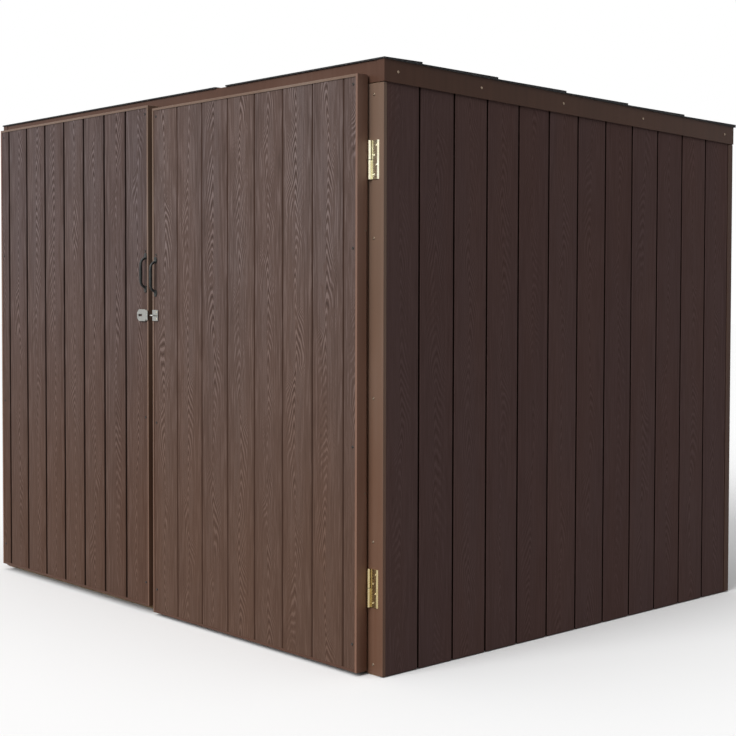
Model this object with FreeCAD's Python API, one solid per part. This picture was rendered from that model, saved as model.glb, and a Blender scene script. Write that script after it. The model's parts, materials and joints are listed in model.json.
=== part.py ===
import FreeCAD, Part
import math
import os

# Lean-to bike shed with two overlay doors, in millimetres.
# +X runs to the right along the front, +Y from the front to the back and +Z up.
# The origin is on the ground, midway between the side walls and midway from the front trim to the back wall.

Vector = FreeCAD.Vector

# Outside of the carcass
shed_width = 2080.0
shed_depth = 1580.0
front_height = 1618.0
roof_fall = 42.0
ground_gap = 3.0

# Wall and door boards
board_pitch = 130.0
board_thickness = 20.0
reveal_width = 4.5
reveal_depth = 8.5
chamfer_run = 2.5
chamfer_drop = 3.0
tongue_thickness = 4.5
tongue_reach = 6.0
board_fit = 0.4
side_first_board = 117.0
back_first_board = 61.5

# Timber frame
frame_bar = 45.0
base_rail_height = 40.0
front_top_rail_height = 90.0
top_rail_height = 70.0
rafter_spacing = 690.0
middle_rail_level = 760.0
anchor_radius = 6.0
anchor_spacing = 1230.0

# Trims and fascia
front_trim_width = 75.0
front_trim_thickness = 4.0
front_trim_return = 10.0
front_trim_return_thickness = 3.0
jamb_thickness = 2.0
back_trim_leg = 24.0
back_trim_thickness = 1.5
fascia_height = 58.0
fascia_thickness = 3.0
fascia_return = 25.0
fascia_return_thickness = 1.5
trim_gap = 2.0

# Roof
deck_thickness = 12.0
deck_sheet_depth = 1220.0
deck_joint = 2.0
course_exposure = 292.0
shingle_head = 4.0
shingle_butt = 9.0
shingle_length = 1000.0
shingle_stagger = 167.0
shingle_joint = 3.0
tab_width = 333.0
tab_slot_width = 7.0
tab_slot_length = 150.0
tab_slot_depth = 3.0
shingle_side_overhang = 3.0
shingle_front_overhang = 3.0
shingle_back_overhang = 9.0
front_course_first_strip = 701.0
front_course_gap = 52.0

# Doors
door_hinge_margin = 55.0
door_centre_gap = 24.0
door_top_clearance = 37.0
door_thickness = 39.0
door_stand_off = 4.0
right_door_bottom = 10.0
left_door_bottom = 23.0
channel_web = 2.0
channel_lip = 7.5
channel_lip_thickness = 1.8
channel_back_lip = 30.0
channel_back_thickness = 1.5
door_first_board = 133.0
ledge_height = 90.0
lower_middle_ledge = 472.0
upper_middle_ledge_below_top = 407.0
infill_fit = 0.3

# Lift-off hinges
hinge_height = 102.0
hinge_from_end = 222.0
knuckle_radius = 4.75
pin_radius = 3.0
pin_press = 0.02
pin_running = 0.05
pin_top_cover = 5.0
hinge_split = 1.6
axis_beside_door = 5.4
axis_before_post = 5.2
post_leaf_reach = 32.0
post_leaf_thickness = 2.5
door_leaf_reach = 28.0
door_leaf_thickness = 2.0
leaf_clearance = 1.0

# Pull handles
handle_height = 125.0
handle_foot_length = 22.0
handle_leg_from_end = 15.0
handle_screw_from_end = 6.5
handle_foot_width = 16.0
handle_foot_thickness = 3.0
handle_flare_radius = 6.4
handle_flare_length = 8.0
handle_bar_radius = 4.0
handle_grip_radius = 5.2
handle_grip_length = 58.0
handle_projection = 24.0
handle_bend = 11.0
handle_from_edge = 16.0
handle_level = 1050.0

# Hasp and staple
hasp_level = 917.0
hasp_leaf_width = 30.0
hasp_leaf_height = 35.0
hasp_leaf_thickness = 1.8
hasp_axis_from_edge = 1.0
hasp_axis_stand_off = 3.3
hasp_knuckle_radius = 3.0
hasp_knuckle_height = 26.0
hasp_pin_radius = 1.6
hasp_pin_head = 1.5
knuckle_gap = 0.5
strap_length = 57.0
strap_height = 37.0
strap_thickness = 2.0
strap_corner = 10.0
strap_neck = 8.0
strap_shoulder = 3.0
strap_slot_length = 20.5
strap_slot_height = 7.0
staple_from_edge = 14.0
staple_plate_width = 30.0
staple_plate_height = 34.0
staple_plate_edge = 2.0
staple_wire_radius = 2.25
staple_span = 13.0
staple_projection = 16.0
hasp_screw_from_edge = 7.0
hasp_screw_spacing = 11.0
staple_screw_from_edge = 6.5

# Screws
screw_head_radius = 4.0
screw_head_height = 1.5
screw_shank_radius = 2.0
screw_hole_clearance = 0.1
trim_screw_length = 28.0
short_screw_length = 14.0
flush_head_radius = 3.4
hasp_head_radius = 2.6
hinge_screw_length = 24.0
hinge_screw_stagger = 4.75
hinge_screw_rows = 4
side_fascia_screws = (47.0, 360.0, 707.0, 1087.0, 1531.0)
back_fascia_screw_count = 5
back_fascia_screw_from_end = 48.0
post_screw_from_edge = 38.0
post_screw_low = 29.0
post_screw_lower = 355.0
post_screw_middle = 734.0
post_screw_upper_below_top = 404.0
post_screw_below_top = 29.0
door_screw_from_edge = 19.0
door_screw_low = 74.0
door_screw_below_top = 26.0
door_screw_pitch = 522.0
door_screw_rows = 3

# Values worked out from the sizes above
half_width = shed_width / 2
y_front = -shed_depth / 2
y_back = shed_depth / 2
wall_inside = half_width - board_thickness
slope = roof_fall / shed_depth
cut_margin = 100.0
door_height = front_height - door_top_clearance - right_door_bottom
door_back = y_front - door_stand_off
door_front = door_back - door_thickness
door_face = door_front + channel_lip_thickness
meeting_edge = door_centre_gap / 2
hinge_edge = half_width - door_hinge_margin
hinge_x = hinge_edge + axis_beside_door
hinge_y = y_front - axis_before_post
hinge_levels = {"lower": hinge_from_end, "upper": door_height - hinge_from_end}
middle_ledge_levels = (lower_middle_ledge, door_height - upper_middle_ledge_below_top)
front_fascia_bottom = front_height - fascia_height
post_top = front_height - deck_thickness - front_top_rail_height
hasp_x = -meeting_edge - hasp_axis_from_edge
hasp_y = door_front - hasp_axis_stand_off
hasp_z = left_door_bottom + hasp_level
staple_x = meeting_edge + staple_from_edge

nodes = {}
holes = {}


def add(name, shape):
    """Put the solids of a shape into a node."""
    nodes.setdefault(name, []).extend(shape.Solids)


def box(x0, x1, y0, y1, z0, z1):
    """Block between two corners."""
    return Part.makeBox(x1 - x0, y1 - y0, z1 - z0, Vector(x0, y0, z0))


def rod(radius, start, end):
    """Round bar from one point to another."""
    along = end - start
    return Part.makeCylinder(radius, along.Length, start, along)


def prism(points, along):
    """Straight bar of a flat outline."""
    return Part.Face(Part.makePolygon(points + [points[0]])).extrude(along)


def prism_x(outline, x0, x1):
    """Bar along X of an outline of (y, z) points."""
    return prism([Vector(x0, y, z) for y, z in outline], Vector(x1 - x0, 0, 0))


def prism_y(outline, y0, y1):
    """Bar along Y of an outline of (x, z) points."""
    return prism([Vector(x, y0, z) for x, z in outline], Vector(0, y1 - y0, 0))


def prism_z(outline, z0, z1):
    """Bar along Z of an outline of (x, y) points."""
    return prism([Vector(x, y, z0) for x, y in outline], Vector(0, 0, z1 - z0))


def mirrored(shape):
    """The same shape on the other side of the shed."""
    return shape.mirror(Vector(0, 0, 0), Vector(1, 0, 0))


def add_pair(name, shape):
    """Put a shape on the right and its mirror image on the left."""
    add(name + "_right", shape)
    add(name + "_left", mirrored(shape))


def roof_z(y):
    """Height of the deck's top, which the fascia's top edge follows."""
    return front_height - slope * (y - y_front)


def sloped(y0, y1, top, bottom):
    """Outline between two depths below the roof line, as (y, z) points."""
    return [
        (y0, roof_z(y0) - top),
        (y1, roof_z(y1) - top),
        (y1, roof_z(y1) - bottom),
        (y0, roof_z(y0) - bottom),
    ]


def above_roof(depth):
    """Everything higher than a depth below the roof line, for cutting pieces to the slope."""
    y0 = y_front - cut_margin
    y1 = y_back + cut_margin
    side = half_width + cut_margin
    return prism_x(sloped(y0, y1, depth, -cut_margin - front_height), -side, side)


under_deck = above_roof(deck_thickness)
under_shingles = above_roof(0.0)


def screw(group, seat, inward, length, drilled, head_radius=screw_head_radius, sunk=0.0):
    """Add a screw seated at a point, and its hole to each node that it goes through.

    A screw with a sunk head lies flush, with the head's pocket in the first node of the list.
    """
    proud = 0.0 if sunk else screw_head_height
    neck = seat + inward * sunk
    tip = neck + inward * length
    head = rod(head_radius, seat - inward * proud, neck if sunk else seat)
    add(group, head.fuse(rod(screw_shank_radius, neck, tip)).removeSplitter())
    drill = rod(screw_shank_radius + screw_hole_clearance, seat, tip + inward * screw_hole_clearance)
    for name in drilled:
        holes.setdefault(name, []).append(drill)
    if sunk:
        pocket = rod(head_radius + screw_hole_clearance, seat, neck)
        holes[drilled[0]].append(pocket)


def spread(first, last, count):
    """Evenly spaced places from the first to the last."""
    return [first + (last - first) * index / (count - 1) for index in range(count)]


def drill_node(name):
    """Solids of a node with its screw holes cut."""
    result = []
    for solid in nodes[name]:
        near = [cut for cut in holes.get(name, []) if cut.BoundBox.intersect(solid.BoundBox)]
        result.extend(solid.cut(near).Solids if near else [solid])
    return result


def board_row(start, along, inward, length, first_board, covered, bottom, top):
    """Boards side by side from a start point, each with its tongue towards the start.

    A rest of the length that the trim at the far end covers needs no board of its own.
    The reveal on the weather face has a square wall on the tongue's side and a chamfer across from it.
    """
    tongue_back = reveal_depth + tongue_thickness
    outline = [
        (board_pitch - chamfer_run, 0.0),
        (reveal_width, 0.0),
        (reveal_width, reveal_depth),
        (-tongue_reach, reveal_depth),
        (-tongue_reach, tongue_back),
        (board_fit, tongue_back),
        (board_fit, board_thickness),
        (board_pitch, board_thickness),
        (board_pitch, tongue_back + board_fit),
        (board_pitch - tongue_reach - board_fit, tongue_back + board_fit),
        (board_pitch - tongue_reach - board_fit, reveal_depth - board_fit),
        (board_pitch, reveal_depth - board_fit),
        (board_pitch, chamfer_drop),
    ]
    count = 1 + math.ceil((length - first_board - covered) / board_pitch)
    first = first_board - board_pitch
    row = []
    for index in range(count):
        corner = start + along * (first + index * board_pitch)
        points = [corner + along * run + inward * depth for run, depth in outline]
        points = [Vector(point.x, point.y, bottom) for point in points]
        row.append(prism(points, Vector(0, 0, top - bottom)))
    return row


def add_boards(name, row, space, cutter=None):
    """Boards of a row trimmed to the space that they fill."""
    for board in row:
        piece = board.common(space)
        if cutter:
            piece = piece.cut(cutter)
        add(name, piece)


def base_frame():
    """Rails on the ground, drilled for anchors, with the posts standing on them."""
    inner = wall_inside - frame_bar
    rail_front = y_front + front_trim_thickness
    rail_back = y_back - board_thickness
    side_rail = box(inner, wall_inside, rail_front, rail_back, 0, base_rail_height)
    centre = inner + frame_bar / 2
    for y in (-anchor_spacing / 2, anchor_spacing / 2):
        anchor = rod(anchor_radius, Vector(centre, y, 0), Vector(centre, y, base_rail_height))
        side_rail = side_rail.cut(anchor)
    add_pair("base_rail", side_rail)
    add("base_rail_front", box(-inner, inner, rail_front, rail_front + frame_bar, 0, base_rail_height))
    add("base_rail_back", box(-inner, inner, rail_back - frame_bar, rail_back, 0, base_rail_height))

    post_inside = half_width - front_trim_width + jamb_thickness
    add_pair("post_front", box(post_inside, wall_inside, rail_front, rail_front + frame_bar,
                               base_rail_height, post_top))
    back_post = box(inner, wall_inside, rail_back - frame_bar, rail_back, base_rail_height, front_height)
    rail_zone = above_roof(deck_thickness + top_rail_height)
    add_pair("post_back", back_post.cut(rail_zone))

    low = middle_rail_level - frame_bar / 2
    high = middle_rail_level + frame_bar / 2
    add_pair("middle_rail", box(inner, wall_inside, rail_front + frame_bar, rail_back - frame_bar, low, high))
    add("middle_rail_back", box(-inner, inner, rail_back - frame_bar, rail_back, low, high))


def roof_frame():
    """Rails on the posts and rafters between them, cut to the roof's slope."""
    header_front = y_front + front_trim_thickness
    header_back = header_front + frame_bar
    rail_back = y_back - board_thickness
    header = box(-wall_inside, wall_inside, header_front, header_back, post_top, front_height)
    add("top_rail_front", header.cut(under_deck))
    rail_bottom = deck_thickness + top_rail_height
    back_rail = sloped(rail_back - frame_bar, rail_back, deck_thickness, rail_bottom)
    add("top_rail_back", prism_x(back_rail, -wall_inside, wall_inside))
    bar = sloped(header_back, rail_back - frame_bar, deck_thickness, rail_bottom)
    add_pair("top_rail", prism_x(bar, wall_inside - frame_bar, wall_inside))
    middle = rafter_spacing / 2
    add_pair("rafter", prism_x(bar, middle - frame_bar / 2, middle + frame_bar / 2))


def walls():
    """Boards of the two sides and the back, from just above the ground to the deck."""
    side_start = y_front + front_trim_return
    side_length = y_back - board_thickness - side_start
    covered = back_trim_leg - board_thickness
    outer = Vector(half_width, side_start, 0)
    row = board_row(outer, Vector(0, 1, 0), Vector(-1, 0, 0), side_length, side_first_board, covered,
                    ground_gap, front_height)
    space = box(wall_inside, half_width, side_start, side_start + side_length, ground_gap, front_height)
    add_boards("wall_boards_right", row, space, under_deck)
    add_boards("wall_boards_left", [mirrored(board) for board in row], mirrored(space), under_deck)

    outer = Vector(-half_width, y_back, 0)
    row = board_row(outer, Vector(1, 0, 0), Vector(0, -1, 0), shed_width, back_first_board, back_trim_leg,
                    ground_gap, front_height)
    space = box(-half_width, half_width, y_back - board_thickness, y_back, ground_gap, front_height)
    add_boards("wall_boards_back", row, space, under_deck)


def trims():
    """Strips that face the front posts, and angles round the back corners."""
    inside = half_width - front_trim_width
    jamb_back = y_front + front_trim_thickness + frame_bar
    top = front_fascia_bottom - trim_gap
    facing = box(inside, half_width, y_front, y_front + front_trim_thickness, ground_gap, top)
    jamb = box(inside, inside + jamb_thickness, y_front + front_trim_thickness, jamb_back,
               base_rail_height, post_top)
    turn = box(half_width - front_trim_return_thickness, half_width, y_front, y_front + front_trim_return,
               ground_gap, top)
    add_pair("front_trim", facing.fuse(jamb).fuse(turn).removeSplitter())

    edge = half_width + back_trim_thickness
    rear = y_back + back_trim_thickness
    outline = [
        (half_width, y_back - back_trim_leg),
        (edge, y_back - back_trim_leg),
        (edge, rear),
        (half_width - back_trim_leg, rear),
        (half_width - back_trim_leg, y_back),
        (half_width, y_back),
    ]
    angle = prism_z(outline, ground_gap, front_height)
    add_pair("back_trim", angle.cut(above_roof(fascia_height + trim_gap)))


def fascias():
    """Strips round the top of the walls, the side ones turned round the front corners."""
    face = y_front - fascia_return_thickness
    rear = y_back + fascia_thickness
    edge = half_width + fascia_thickness
    side = prism_x(sloped(face, rear, 0.0, fascia_height), half_width, edge)
    turn = box(half_width - fascia_return, half_width, face, y_front, front_fascia_bottom, front_height)
    add_pair("fascia", side.fuse(turn.cut(under_shingles)).removeSplitter())
    front = box(-half_width, half_width, y_front, y_front + front_trim_thickness,
                front_fascia_bottom, front_height)
    add("fascia_front", front.cut(under_shingles))
    add("fascia_back", prism_x(sloped(y_back, rear, 0.0, fascia_height), -half_width, half_width))


def deck():
    """Two boards of roof deck, the joint across the slope."""
    start = y_front + front_trim_thickness
    joint = start + deck_sheet_depth
    for y0, y1 in ((start, joint), (joint + deck_joint, y_back)):
        add("roof_deck", prism_x(sloped(y0, y1, 0.0, deck_thickness), -half_width, half_width))


def shingle_strips(left, right, first, gap):
    """Ends of the strips of one course, from the right edge to the left, with the first strip cut short."""
    spans = []
    end = right
    length = first
    while end > left:
        spans.append((max(left, end - length), end))
        end -= length + gap
        gap = shingle_joint
        length = shingle_length
    return spans


def shingles():
    """Courses that overlap like steps towards the back, each of strips with tabs."""
    right = half_width + fascia_thickness + shingle_side_overhang
    front = y_front - fascia_return_thickness - shingle_front_overhang
    butt = y_back + fascia_thickness + shingle_back_overhang
    course = 0
    while butt > front:
        head = max(front, butt - course_exposure)
        stagger = shingle_stagger * (course % 2)
        is_front = head == front
        first = front_course_first_strip if is_front else shingle_length - stagger
        gap = front_course_gap if is_front else shingle_joint
        outline = [
            (head, roof_z(head)),
            (butt, roof_z(butt)),
            (butt, roof_z(butt) + shingle_butt),
            (head, roof_z(head) + shingle_head),
        ]
        slot_head = max(head, butt - tab_slot_length)
        slot = [
            (slot_head, roof_z(slot_head) + shingle_butt - tab_slot_depth),
            (butt, roof_z(butt) + shingle_butt - tab_slot_depth),
            (butt, roof_z(butt) + 2 * shingle_butt),
            (slot_head, roof_z(slot_head) + 2 * shingle_butt),
        ]
        for x0, x1 in shingle_strips(-right, right, first, gap):
            strip = prism_x(outline, x0, x1)
            tab_edge = x1 - tab_width
            while tab_edge > x0 + tab_slot_width:
                strip = strip.cut(prism_x(slot, tab_edge - tab_slot_width / 2, tab_edge + tab_slot_width / 2))
                tab_edge -= tab_width
            add("roof_shingles", strip)
        butt = head
        course += 1


def trim_screws():
    """Screws of the fascia and the front trims."""
    middle = fascia_height / 2
    for side, name in ((1, "right"), (-1, "left")):
        inward = Vector(-side, 0, 0)
        for from_front in side_fascia_screws:
            y = y_front + from_front
            seat = Vector(side * (half_width + fascia_thickness), y, roof_z(y) - middle)
            screw("frame_screws", seat, inward, trim_screw_length,
                  ["fascia_" + name, "wall_boards_" + name, "wall_boards_back",
                   "top_rail_" + name, "top_rail_front", "top_rail_back"])
        x = side * (half_width - post_screw_from_edge)
        trim_top = front_fascia_bottom - trim_gap
        for z in (post_screw_low, post_screw_lower, post_screw_middle,
                  trim_top - post_screw_upper_below_top, trim_top - post_screw_below_top):
            screw("frame_screws", Vector(x, y_front, z), Vector(0, 1, 0), trim_screw_length,
                  ["front_trim_" + name, "post_front_" + name, "base_rail_" + name, "top_rail_front"])
    end = half_width - back_fascia_screw_from_end
    for x in spread(-end, end, back_fascia_screw_count):
        seat = Vector(x, y_back + fascia_thickness, roof_z(y_back) - middle)
        screw("frame_screws", seat, Vector(0, -1, 0), trim_screw_length,
              ["fascia_back", "wall_boards_back", "top_rail_back"])


def channel(edge, inward):
    """Section of a door's edge channel as (across, y) points, from its outer edge inwards."""
    return [
        (edge, door_front),
        (edge + inward * channel_lip, door_front),
        (edge + inward * channel_lip, door_face),
        (edge + inward * channel_web, door_face),
        (edge + inward * channel_web, door_back - channel_back_thickness),
        (edge + inward * channel_back_lip, door_back - channel_back_thickness),
        (edge + inward * channel_back_lip, door_back),
        (edge, door_back),
    ]


def door_panel():
    """Edge channels, boards and ledges of the right door, with its bottom at zero height."""
    hinge_stile = prism_z(channel(hinge_edge, -1), 0, door_height)
    meeting_stile = prism_z(channel(meeting_edge, 1), 0, door_height)
    left = meeting_edge + channel_web
    right = hinge_edge - channel_web
    bottom_outline = [(y, z) for z, y in channel(0.0, 1)]
    top_outline = [(y, z) for z, y in channel(door_height, -1)]
    stiles = hinge_stile.fuse(meeting_stile)
    bottom = prism_x(bottom_outline, left, right).cut(stiles)
    top = prism_x(top_outline, left, right).cut(stiles)

    low = channel_web + infill_fit
    high = door_height - channel_web - infill_fit
    space = box(left + infill_fit, right - infill_fit, door_face, door_face + board_thickness, low, high)
    start = Vector(meeting_edge, door_face, 0)
    row = board_row(start, Vector(1, 0, 0), Vector(0, 1, 0), hinge_edge - meeting_edge, door_first_board,
                    channel_lip, low, high)
    boards = Part.makeCompound([board.common(space) for board in row])

    ledges = []
    for level in (hinge_levels["lower"], *middle_ledge_levels, hinge_levels["upper"]):
        ledges.append(box(left + infill_fit, right - infill_fit,
                          door_face + board_thickness, door_back - channel_back_thickness,
                          level - ledge_height / 2, level + ledge_height / 2))
    return {
        "hinge_stile": hinge_stile,
        "meeting_stile": meeting_stile,
        "bottom_channel": bottom,
        "top_channel": top,
        "boards": boards,
        "ledges": Part.makeCompound(ledges),
    }


def hinge(level):
    """Post leaf, door leaf and pin of a hinge on the right, centred at a height above the door's bottom."""
    low = level - hinge_height / 2
    high = level + hinge_height / 2
    lower_end = level - hinge_split / 2
    upper_end = level + hinge_split / 2
    foot = Vector(hinge_x, hinge_y, low)
    split_low = Vector(hinge_x, hinge_y, lower_end)
    split_high = Vector(hinge_x, hinge_y, upper_end)
    crown = Vector(hinge_x, hinge_y, high)

    leaf_front = y_front - post_leaf_thickness
    leaf_start = hinge_x + knuckle_radius + leaf_clearance
    post_leaf = box(leaf_start, hinge_x + post_leaf_reach, leaf_front, y_front, low, high)
    post_leaf = post_leaf.fuse(box(hinge_x, leaf_start, leaf_front, y_front, low, lower_end))
    post_leaf = post_leaf.fuse(rod(knuckle_radius, foot, split_low))
    post_leaf = post_leaf.cut(rod(pin_radius + pin_press, foot, split_low)).removeSplitter()

    leaf_back = door_back + door_leaf_thickness
    leaf_end = hinge_edge - leaf_clearance
    door_leaf = box(hinge_edge - door_leaf_reach, leaf_end, door_back, leaf_back, low, high)
    door_leaf = door_leaf.fuse(box(leaf_end, hinge_x, door_back, leaf_back, upper_end, high))
    door_leaf = door_leaf.fuse(rod(knuckle_radius, split_high, crown))
    bore_top = crown - Vector(0, 0, pin_top_cover)
    door_leaf = door_leaf.cut(rod(pin_radius + pin_running, split_high, bore_top)).removeSplitter()

    pin = rod(pin_radius, foot, bore_top - Vector(0, 0, pin_running))
    return post_leaf, door_leaf, pin


def handle(x, z):
    """Pull handle on a door's face: two flared feet and a bar with a swelling grip."""
    face = door_face
    bar_y = face - handle_projection + handle_grip_radius
    half = handle_height / 2
    leg = half - handle_leg_from_end
    bend = handle_bend
    side = bend * math.sqrt(0.5)

    def point(y, height):
        """Point on the bar's middle line."""
        return Vector(x, y, z + height)

    path = [Part.LineSegment(point(face, -leg), point(bar_y + bend, -leg)).toShape()]
    path.append(Part.Arc(point(bar_y + bend, -leg), point(bar_y + bend - side, -leg + bend - side),
                         point(bar_y, -leg + bend)).toShape())
    path.append(Part.LineSegment(point(bar_y, -leg + bend), point(bar_y, leg - bend)).toShape())
    path.append(Part.Arc(point(bar_y, leg - bend), point(bar_y + bend - side, leg - bend + side),
                         point(bar_y + bend, leg)).toShape())
    path.append(Part.LineSegment(point(bar_y + bend, leg), point(face, leg)).toShape())
    section = Part.Wire(Part.Circle(point(face, -leg), Vector(0, 1, 0), handle_bar_radius).toShape())
    shape = Part.Wire(path).makePipeShell([section], True, False)

    grip = handle_grip_length / 2
    swell = Part.Arc(Vector(x + handle_bar_radius, bar_y, z - grip), Vector(x + handle_grip_radius, bar_y, z),
                     Vector(x + handle_bar_radius, bar_y, z + grip)).toShape()
    ends = Part.makePolygon([Vector(x + handle_bar_radius, bar_y, z + grip), Vector(x, bar_y, z + grip),
                             Vector(x, bar_y, z - grip), Vector(x + handle_bar_radius, bar_y, z - grip)])
    outline = Part.Face(Part.Wire([swell] + ends.Edges))
    shape = shape.fuse(outline.revolve(Vector(x, bar_y, z), Vector(0, 0, 1), 360))

    foot_radius = handle_foot_width / 2
    straight = (handle_foot_length - handle_foot_width) / 2
    for sign in (-1, 1):
        foot_z = z + sign * (half - handle_foot_length / 2)
        front = face - handle_foot_thickness
        foot = box(x - foot_radius, x + foot_radius, front, face, foot_z - straight, foot_z + straight)
        for end in (foot_z - straight, foot_z + straight):
            foot = foot.fuse(rod(foot_radius, Vector(x, face, end), Vector(x, front, end)))
        flare = Part.makeCone(handle_flare_radius, handle_bar_radius, handle_flare_length,
                              Vector(x, front, z + sign * leg), Vector(0, -1, 0))
        shape = shape.fuse(foot.fuse(flare))
    return shape.removeSplitter()


def doors():
    """Both doors with hinges, handles and their screws, the left one mirrored and hung higher."""
    panel = door_panel()
    pull = handle(meeting_edge + handle_from_edge, handle_level)
    for side, sign, lift in (("right", 1, right_door_bottom), ("left", -1, left_door_bottom)):

        def place(shape):
            """The right door's shape at this door's side and height."""
            moved = shape if sign > 0 else mirrored(shape)
            return moved.translated(Vector(0, 0, lift))

        def spot(x, y, z):
            """A point of the right door at this door's side and height."""
            return Vector(sign * x, y, z + lift)

        for name, shape in panel.items():
            add(f"{side}_door_{name}", place(shape))
        add(f"{side}_handle", place(pull))
        group = f"{side}_door_screws"
        boards = f"{side}_door_boards"
        inward = Vector(0, 1, 0)

        levels = [door_screw_low + row * door_screw_pitch for row in range(door_screw_rows)]
        levels.append(door_height - door_screw_below_top)
        for z in levels:
            for x in (meeting_edge + door_screw_from_edge, hinge_edge - door_screw_from_edge):
                screw(group, spot(x, door_face, z), inward, short_screw_length, [boards])
        ledge_middle = (door_face + board_thickness + door_back - channel_back_thickness) / 2
        for z in middle_ledge_levels:
            screw(group, spot(hinge_edge, ledge_middle, z), Vector(-sign, 0, 0), trim_screw_length,
                  [f"{side}_door_hinge_stile", f"{side}_door_ledges"],
                  head_radius=flush_head_radius, sunk=screw_head_height)
        foot_screw = handle_height / 2 - handle_screw_from_end
        for z in (handle_level - foot_screw, handle_level + foot_screw):
            seat = spot(meeting_edge + handle_from_edge, door_face - handle_foot_thickness, z)
            screw(group, seat, inward, short_screw_length, [f"{side}_handle", boards],
                  head_radius=hasp_head_radius, sunk=screw_head_height)

        for level_name, level in hinge_levels.items():
            post_leaf, door_leaf, pin = hinge(level)
            post_name = f"{side}_{level_name}_hinge_post_leaf"
            door_name = f"{side}_{level_name}_hinge_door_leaf"
            add(post_name, place(post_leaf))
            add(door_name, place(door_leaf))
            add("hinge_pins", place(pin))
            leaf_middle = (knuckle_radius + leaf_clearance + post_leaf_reach) / 2
            for row in range(hinge_screw_rows):
                z = level - hinge_height / 2 + hinge_height * (row + 0.5) / hinge_screw_rows
                shift = hinge_screw_stagger if row % 2 else -hinge_screw_stagger
                seat = spot(hinge_x + leaf_middle + shift, y_front - post_leaf_thickness, z)
                screw("frame_screws", seat, inward, hinge_screw_length,
                      [post_name, f"front_trim_{side}", f"post_front_{side}", "top_rail_front"],
                      head_radius=flush_head_radius, sunk=post_leaf_thickness)
                seat = spot(hinge_edge - door_leaf_reach / 2 + shift, door_back + door_leaf_thickness, z)
                screw(group, seat, -inward, short_screw_length,
                      [door_name, f"{side}_door_hinge_stile", f"{side}_door_ledges"],
                      head_radius=flush_head_radius, sunk=door_leaf_thickness)


def hasp():
    """Fixed leaf, pin and strap on the left door, with the strap swung back flat."""
    low = hasp_z - hasp_leaf_height / 2
    high = hasp_z + hasp_leaf_height / 2
    half_axis = hasp_knuckle_height / 2
    axis_low = Vector(hasp_x, hasp_y, hasp_z - half_axis)
    middle_low = Vector(hasp_x, hasp_y, hasp_z - half_axis / 3)
    middle_high = Vector(hasp_x, hasp_y, hasp_z + half_axis / 3)
    axis_high = Vector(hasp_x, hasp_y, hasp_z + half_axis)
    leaf_front = door_front - hasp_leaf_thickness
    gap = Vector(0, 0, knuckle_gap)
    bore = rod(hasp_pin_radius + pin_press, axis_low, axis_high)
    slack_bore = rod(hasp_pin_radius + pin_running, axis_low, axis_high)

    leaf_edge = hasp_x - hasp_knuckle_radius - leaf_clearance
    leaf = box(hasp_x - hasp_leaf_width, leaf_edge, leaf_front, door_front, low, high)
    for start, end in ((axis_low, middle_low), (middle_high, axis_high)):
        leaf = leaf.fuse(box(leaf_edge, hasp_x, leaf_front, door_front, start.z, end.z))
        leaf = leaf.fuse(rod(hasp_knuckle_radius, start, end))
    add("hasp_leaf", leaf.cut(bore).removeSplitter())

    pin = rod(hasp_pin_radius, axis_low, axis_high)
    for end, way in ((axis_low, -1), (axis_high, 1)):
        pin = pin.fuse(rod(hasp_knuckle_radius, end, end + Vector(0, 0, way * hasp_pin_head)))
    add("hasp_pin", pin.removeSplitter())

    root = leaf_edge - knuckle_gap
    neck = hasp_x - strap_neck
    tip = hasp_x - strap_length
    tongue = half_axis / 3 - knuckle_gap
    half_height = strap_height / 2
    upper = [
        (hasp_x, tongue),
        (root, tongue),
        (root, half_axis),
        (neck, half_axis),
        (neck - strap_shoulder, half_height),
        (tip + strap_corner, half_height),
        (tip, half_height - strap_corner),
    ]
    outline = [(x, hasp_z + rise) for x, rise in upper] + [(x, hasp_z - rise) for x, rise in reversed(upper)]
    half = strap_thickness / 2
    strap = prism_y(outline, hasp_y - half, hasp_y + half)
    strap = strap.fuse(rod(hasp_knuckle_radius, middle_low + gap, middle_high - gap))
    slot_middle = hasp_x - (staple_x - hasp_x)
    slot = box(slot_middle - strap_slot_length / 2, slot_middle + strap_slot_length / 2,
               hasp_y - strap_thickness, hasp_y + strap_thickness,
               hasp_z - strap_slot_height / 2, hasp_z + strap_slot_height / 2)
    add("hasp_strap", strap.cut(slot).cut(slack_bore).removeSplitter())

    outer_screw = hasp_x - hasp_leaf_width + hasp_screw_from_edge
    for z in (low + hasp_screw_from_edge, high - hasp_screw_from_edge):
        for x in (outer_screw, outer_screw + hasp_screw_spacing):
            screw("left_door_screws", Vector(x, leaf_front, z), Vector(0, 1, 0), short_screw_length,
                  ["hasp_leaf", "left_door_boards"], head_radius=hasp_head_radius, sunk=hasp_leaf_thickness)


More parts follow.
